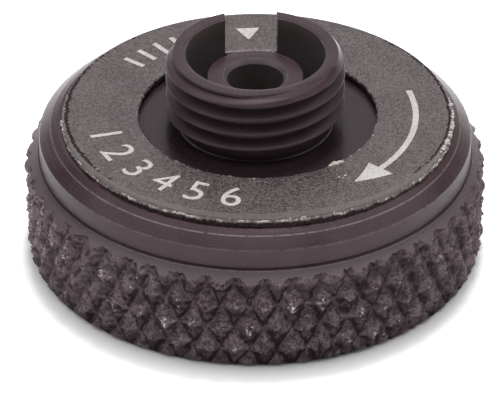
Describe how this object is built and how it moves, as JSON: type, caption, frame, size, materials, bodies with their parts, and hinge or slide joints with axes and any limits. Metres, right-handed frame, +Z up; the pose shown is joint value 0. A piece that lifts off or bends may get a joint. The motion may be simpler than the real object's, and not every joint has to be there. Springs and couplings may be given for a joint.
{
  "type": "fibre optic connector adapter cap",
  "caption": "Round knurled cap that screws onto an optical port, with a threaded, keyed nose and ferrule hole for a fibre connector and a ring-shaped face label.",
  "frame": {"origin": "centre of the foot, on the plane that the cap stands on", "axes": "+Z up along the cap's axis towards the nose, +Y towards the keyway"},
  "size_m": [0.0208, 0.0208, 0.0098],
  "materials": {
    "anodised_body": "black anodised, satin",
    "printed_label": "matt, finely grained"
  },
  "bodies": {
    "root": {"adapter_body": "anodised_body", "face_label": "printed_label"}
  },
  "joints": []
}
